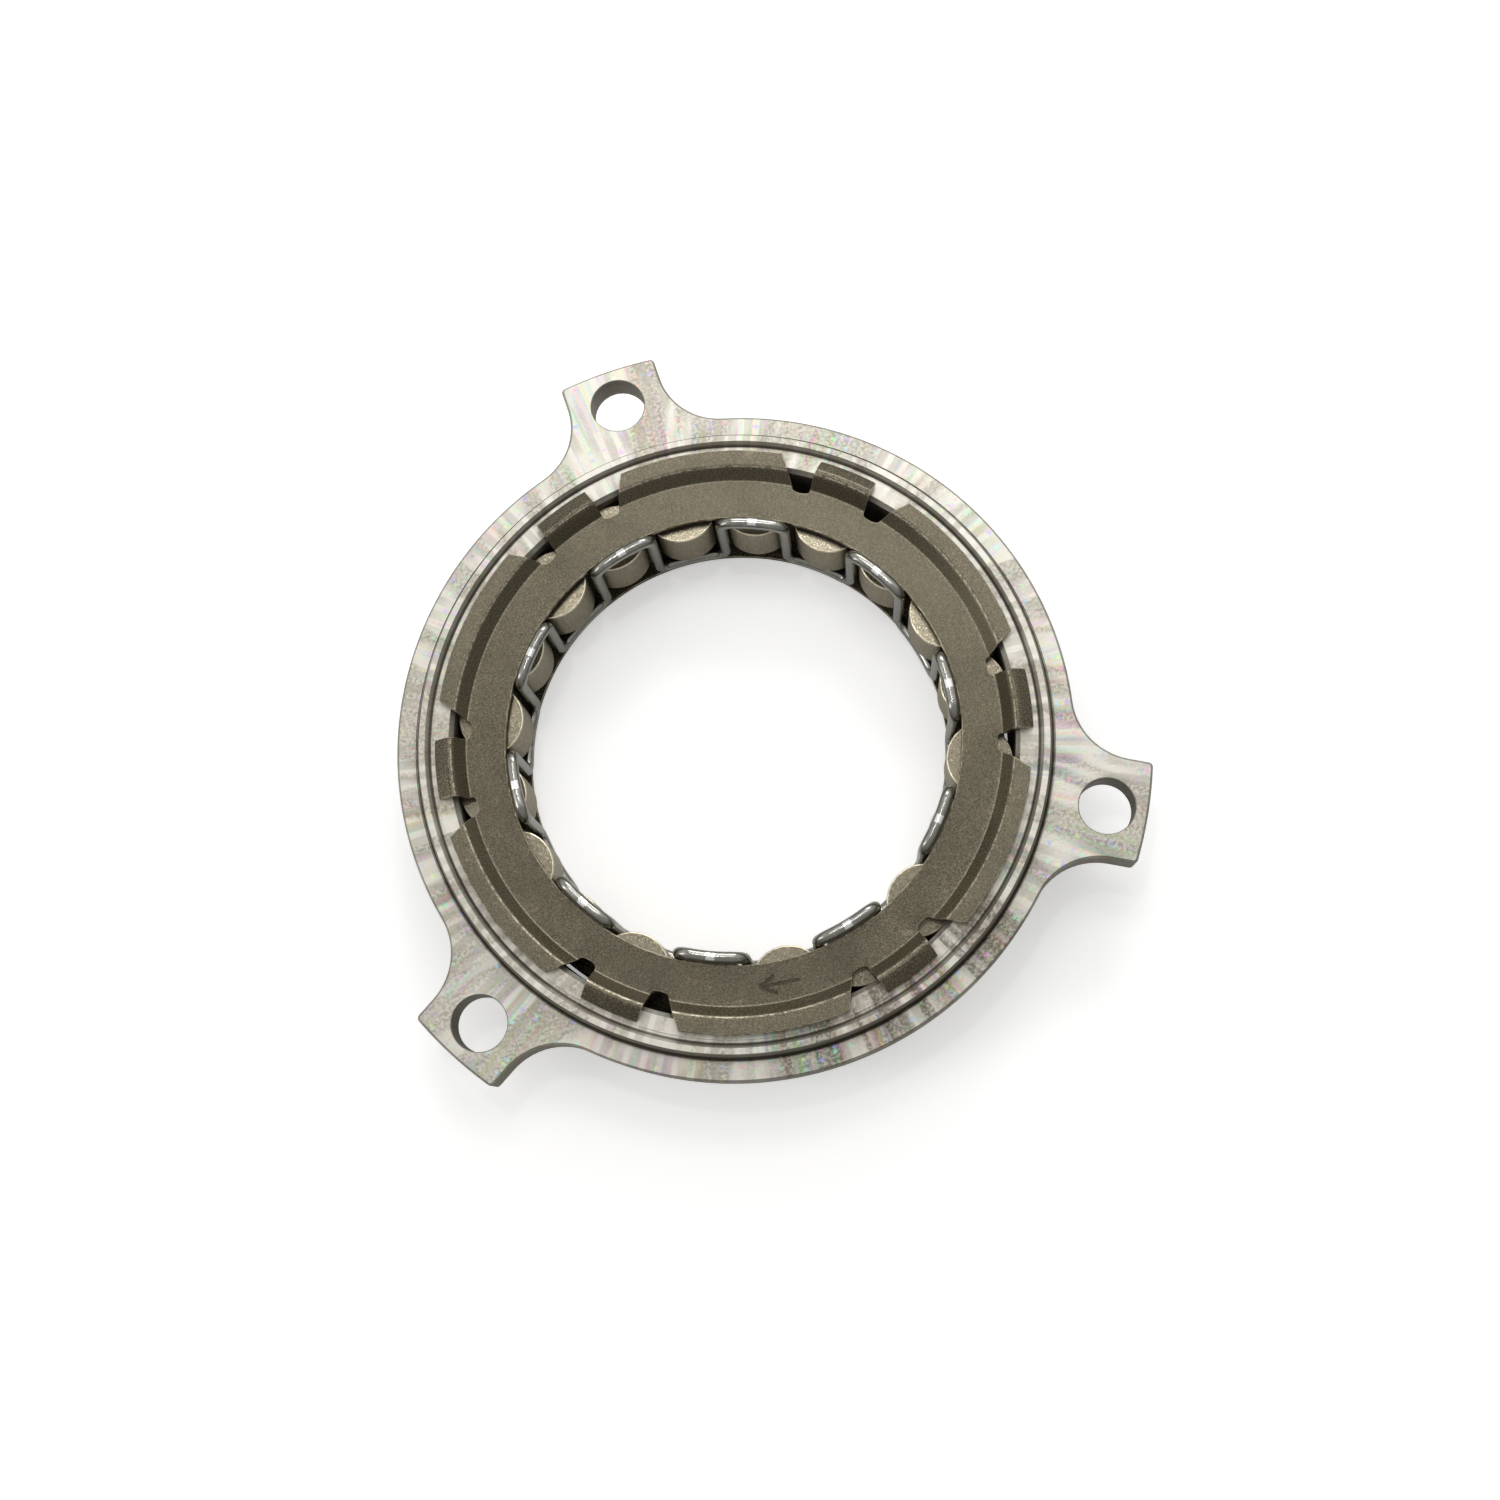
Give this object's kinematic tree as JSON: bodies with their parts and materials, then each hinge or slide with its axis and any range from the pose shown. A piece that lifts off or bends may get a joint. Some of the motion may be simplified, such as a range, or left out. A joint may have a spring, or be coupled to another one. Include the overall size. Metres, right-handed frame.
{
  "type": "sprag clutch",
  "caption": "One-way sprag clutch: eared outer race with a raised locating collar, sheet cage, meander spring and tilting sprags round an open centre.",
  "frame": {"origin": "on the clutch axis, in the plane of the ears' seating face", "axes": "+Z along the clutch axis, out of the side with the collar; +Y towards the middle of one ear"},
  "size_m": [0.0966, 0.0956, 0.0157],
  "materials": {
    "race_steel": "turned and ground steel, bright satin with radial streaks",
    "cage_steel": "stamped and heat treated sheet steel, mottled grey brown",
    "spring_steel": "drawn spring wire, dark grey",
    "sprag_steel": "hardened drawn steel, pale champagne ends"
  },
  "bodies": {
    "race": {"outer_race": "race_steel"},
    "cage_set": {"cage": "cage_steel", "meander_spring": "spring_steel"},
    "sprag_01_body": {"sprag_01": "sprag_steel"},
    "sprag_02_body": {"sprag_02": "sprag_steel"},
    "sprag_03_body": {"sprag_03": "sprag_steel"},
    "sprag_04_body": {"sprag_04": "sprag_steel"},
    "sprag_05_body": {"sprag_05": "sprag_steel"},
    "sprag_06_body": {"sprag_06": "sprag_steel"},
    "sprag_07_body": {"sprag_07": "sprag_steel"},
    "sprag_08_body": {"sprag_08": "sprag_steel"},
    "sprag_09_body": {"sprag_09": "sprag_steel"},
    "sprag_10_body": {"sprag_10": "sprag_steel"},
    "sprag_11_body": {"sprag_11": "sprag_steel"},
    "sprag_12_body": {"sprag_12": "sprag_steel"},
    "sprag_13_body": {"sprag_13": "sprag_steel"},
    "sprag_14_body": {"sprag_14": "sprag_steel"},
    "sprag_15_body": {"sprag_15": "sprag_steel"},
    "sprag_16_body": {"sprag_16": "sprag_steel"},
    "sprag_17_body": {"sprag_17": "sprag_steel"},
    "sprag_18_body": {"sprag_18": "sprag_steel"},
    "sprag_19_body": {"sprag_19": "sprag_steel"},
    "sprag_20_body": {"sprag_20": "sprag_steel"}
  },
  "joints": [
    {"name": "cage_turn", "type": "hinge", "parent": "race", "child": "cage_set", "pos_m": [0, 0, 0], "axis": [0, 0, 1], "continuous": true},
    {"name": "sprag_01_tilt", "type": "hinge", "parent": "cage_set", "child": "sprag_01_body", "pos_m": [0.00332, 0.03163, 0], "axis": [0, 0, 1], "range_deg": [-6, 2], "stiffness_Nm_per_rad": 0.05},
    {"name": "sprag_02_tilt", "type": "hinge", "parent": "cage_set", "child": "sprag_02_body", "pos_m": [-0.00661, 0.03111, 0], "axis": [0, 0, 1], "range_deg": [-6, 2], "stiffness_Nm_per_rad": 0.05},
    {"name": "sprag_03_tilt", "type": "hinge", "parent": "cage_set", "child": "sprag_03_body", "pos_m": [-0.0159, 0.02754, 0], "axis": [0, 0, 1], "range_deg": [-6, 2], "stiffness_Nm_per_rad": 0.05},
    {"name": "sprag_04_tilt", "type": "hinge", "parent": "cage_set", "child": "sprag_04_body", "pos_m": [-0.02363, 0.02128, 0], "axis": [0, 0, 1], "range_deg": [-6, 2], "stiffness_Nm_per_rad": 0.05},
    {"name": "sprag_05_tilt", "type": "hinge", "parent": "cage_set", "child": "sprag_05_body", "pos_m": [-0.02905, 0.01293, 0], "axis": [0, 0, 1], "range_deg": [-6, 2], "stiffness_Nm_per_rad": 0.05},
    {"name": "sprag_06_tilt", "type": "hinge", "parent": "cage_set", "child": "sprag_06_body", "pos_m": [-0.03163, 0.00332, 0], "axis": [0, 0, 1], "range_deg": [-6, 2], "stiffness_Nm_per_rad": 0.05},
    {"name": "sprag_07_tilt", "type": "hinge", "parent": "cage_set", "child": "sprag_07_body", "pos_m": [-0.03111, -0.00661, 0], "axis": [0, 0, 1], "range_deg": [-6, 2], "stiffness_Nm_per_rad": 0.05},
    {"name": "sprag_08_tilt", "type": "hinge", "parent": "cage_set", "child": "sprag_08_body", "pos_m": [-0.02754, -0.0159, 0], "axis": [0, 0, 1], "range_deg": [-6, 2], "stiffness_Nm_per_rad": 0.05},
    {"name": "sprag_09_tilt", "type": "hinge", "parent": "cage_set", "child": "sprag_09_body", "pos_m": [-0.02128, -0.02363, 0], "axis": [0, 0, 1], "range_deg": [-6, 2], "stiffness_Nm_per_rad": 0.05},
    {"name": "sprag_10_tilt", "type": "hinge", "parent": "cage_set", "child": "sprag_10_body", "pos_m": [-0.01293, -0.02905, 0], "axis": [0, 0, 1], "range_deg": [-6, 2], "stiffness_Nm_per_rad": 0.05},
    {"name": "sprag_11_tilt", "type": "hinge", "parent": "cage_set", "child": "sprag_11_body", "pos_m": [-0.00332, -0.03163, 0], "axis": [0, 0, 1], "range_deg": [-6, 2], "stiffness_Nm_per_rad": 0.05},
    {"name": "sprag_12_tilt", "type": "hinge", "parent": "cage_set", "child": "sprag_12_body", "pos_m": [0.00661, -0.03111, 0], "axis": [0, 0, 1], "range_deg": [-6, 2], "stiffness_Nm_per_rad": 0.05},
    {"name": "sprag_13_tilt", "type": "hinge", "parent": "cage_set", "child": "sprag_13_body", "pos_m": [0.0159, -0.02754, 0], "axis": [0, 0, 1], "range_deg": [-6, 2], "stiffness_Nm_per_rad": 0.05},
    {"name": "sprag_14_tilt", "type": "hinge", "parent": "cage_set", "child": "sprag_14_body", "pos_m": [0.02363, -0.02128, 0], "axis": [0, 0, 1], "range_deg": [-6, 2], "stiffness_Nm_per_rad": 0.05},
    {"name": "sprag_15_tilt", "type": "hinge", "parent": "cage_set", "child": "sprag_15_body", "pos_m": [0.02905, -0.01293, 0], "axis": [0, 0, 1], "range_deg": [-6, 2], "stiffness_Nm_per_rad": 0.05},
    {"name": "sprag_16_tilt", "type": "hinge", "parent": "cage_set", "child": "sprag_16_body", "pos_m": [0.03163, -0.00332, 0], "axis": [0, 0, 1], "range_deg": [-6, 2], "stiffness_Nm_per_rad": 0.05},
    {"name": "sprag_17_tilt", "type": "hinge", "parent": "cage_set", "child": "sprag_17_body", "pos_m": [0.03111, 0.00661, 0], "axis": [0, 0, 1], "range_deg": [-6, 2], "stiffness_Nm_per_rad": 0.05},
    {"name": "sprag_18_tilt", "type": "hinge", "parent": "cage_set", "child": "sprag_18_body", "pos_m": [0.02754, 0.0159, 0], "axis": [0, 0, 1], "range_deg": [-6, 2], "stiffness_Nm_per_rad": 0.05},
    {"name": "sprag_19_tilt", "type": "hinge", "parent": "cage_set", "child": "sprag_19_body", "pos_m": [0.02128, 0.02363, 0], "axis": [0, 0, 1], "range_deg": [-6, 2], "stiffness_Nm_per_rad": 0.05},
    {"name": "sprag_20_tilt", "type": "hinge", "parent": "cage_set", "child": "sprag_20_body", "pos_m": [0.01293, 0.02905, 0], "axis": [0, 0, 1], "range_deg": [-6, 2], "stiffness_Nm_per_rad": 0.05}
  ],
  "couplings": [
    {"joint": "sprag_02_tilt", "follows": "sprag_01_tilt", "ratio": 1},
    {"joint": "sprag_03_tilt", "follows": "sprag_01_tilt", "ratio": 1},
    {"joint": "sprag_04_tilt", "follows": "sprag_01_tilt", "ratio": 1},
    {"joint": "sprag_05_tilt", "follows": "sprag_01_tilt", "ratio": 1},
    {"joint": "sprag_06_tilt", "follows": "sprag_01_tilt", "ratio": 1},
    {"joint": "sprag_07_tilt", "follows": "sprag_01_tilt", "ratio": 1},
    {"joint": "sprag_08_tilt", "follows": "sprag_01_tilt", "ratio": 1},
    {"joint": "sprag_09_tilt", "follows": "sprag_01_tilt", "ratio": 1},
    {"joint": "sprag_10_tilt", "follows": "sprag_01_tilt", "ratio": 1},
    {"joint": "sprag_11_tilt", "follows": "sprag_01_tilt", "ratio": 1},
    {"joint": "sprag_12_tilt", "follows": "sprag_01_tilt", "ratio": 1},
    {"joint": "sprag_13_tilt", "follows": "sprag_01_tilt", "ratio": 1},
    {"joint": "sprag_14_tilt", "follows": "sprag_01_tilt", "ratio": 1},
    {"joint": "sprag_15_tilt", "follows": "sprag_01_tilt", "ratio": 1},
    {"joint": "sprag_16_tilt", "follows": "sprag_01_tilt", "ratio": 1},
    {"joint": "sprag_17_tilt", "follows": "sprag_01_tilt", "ratio": 1},
    {"joint": "sprag_18_tilt", "follows": "sprag_01_tilt", "ratio": 1},
    {"joint": "sprag_19_tilt", "follows": "sprag_01_tilt", "ratio": 1},
    {"joint": "sprag_20_tilt", "follows": "sprag_01_tilt", "ratio": 1}
  ]
}
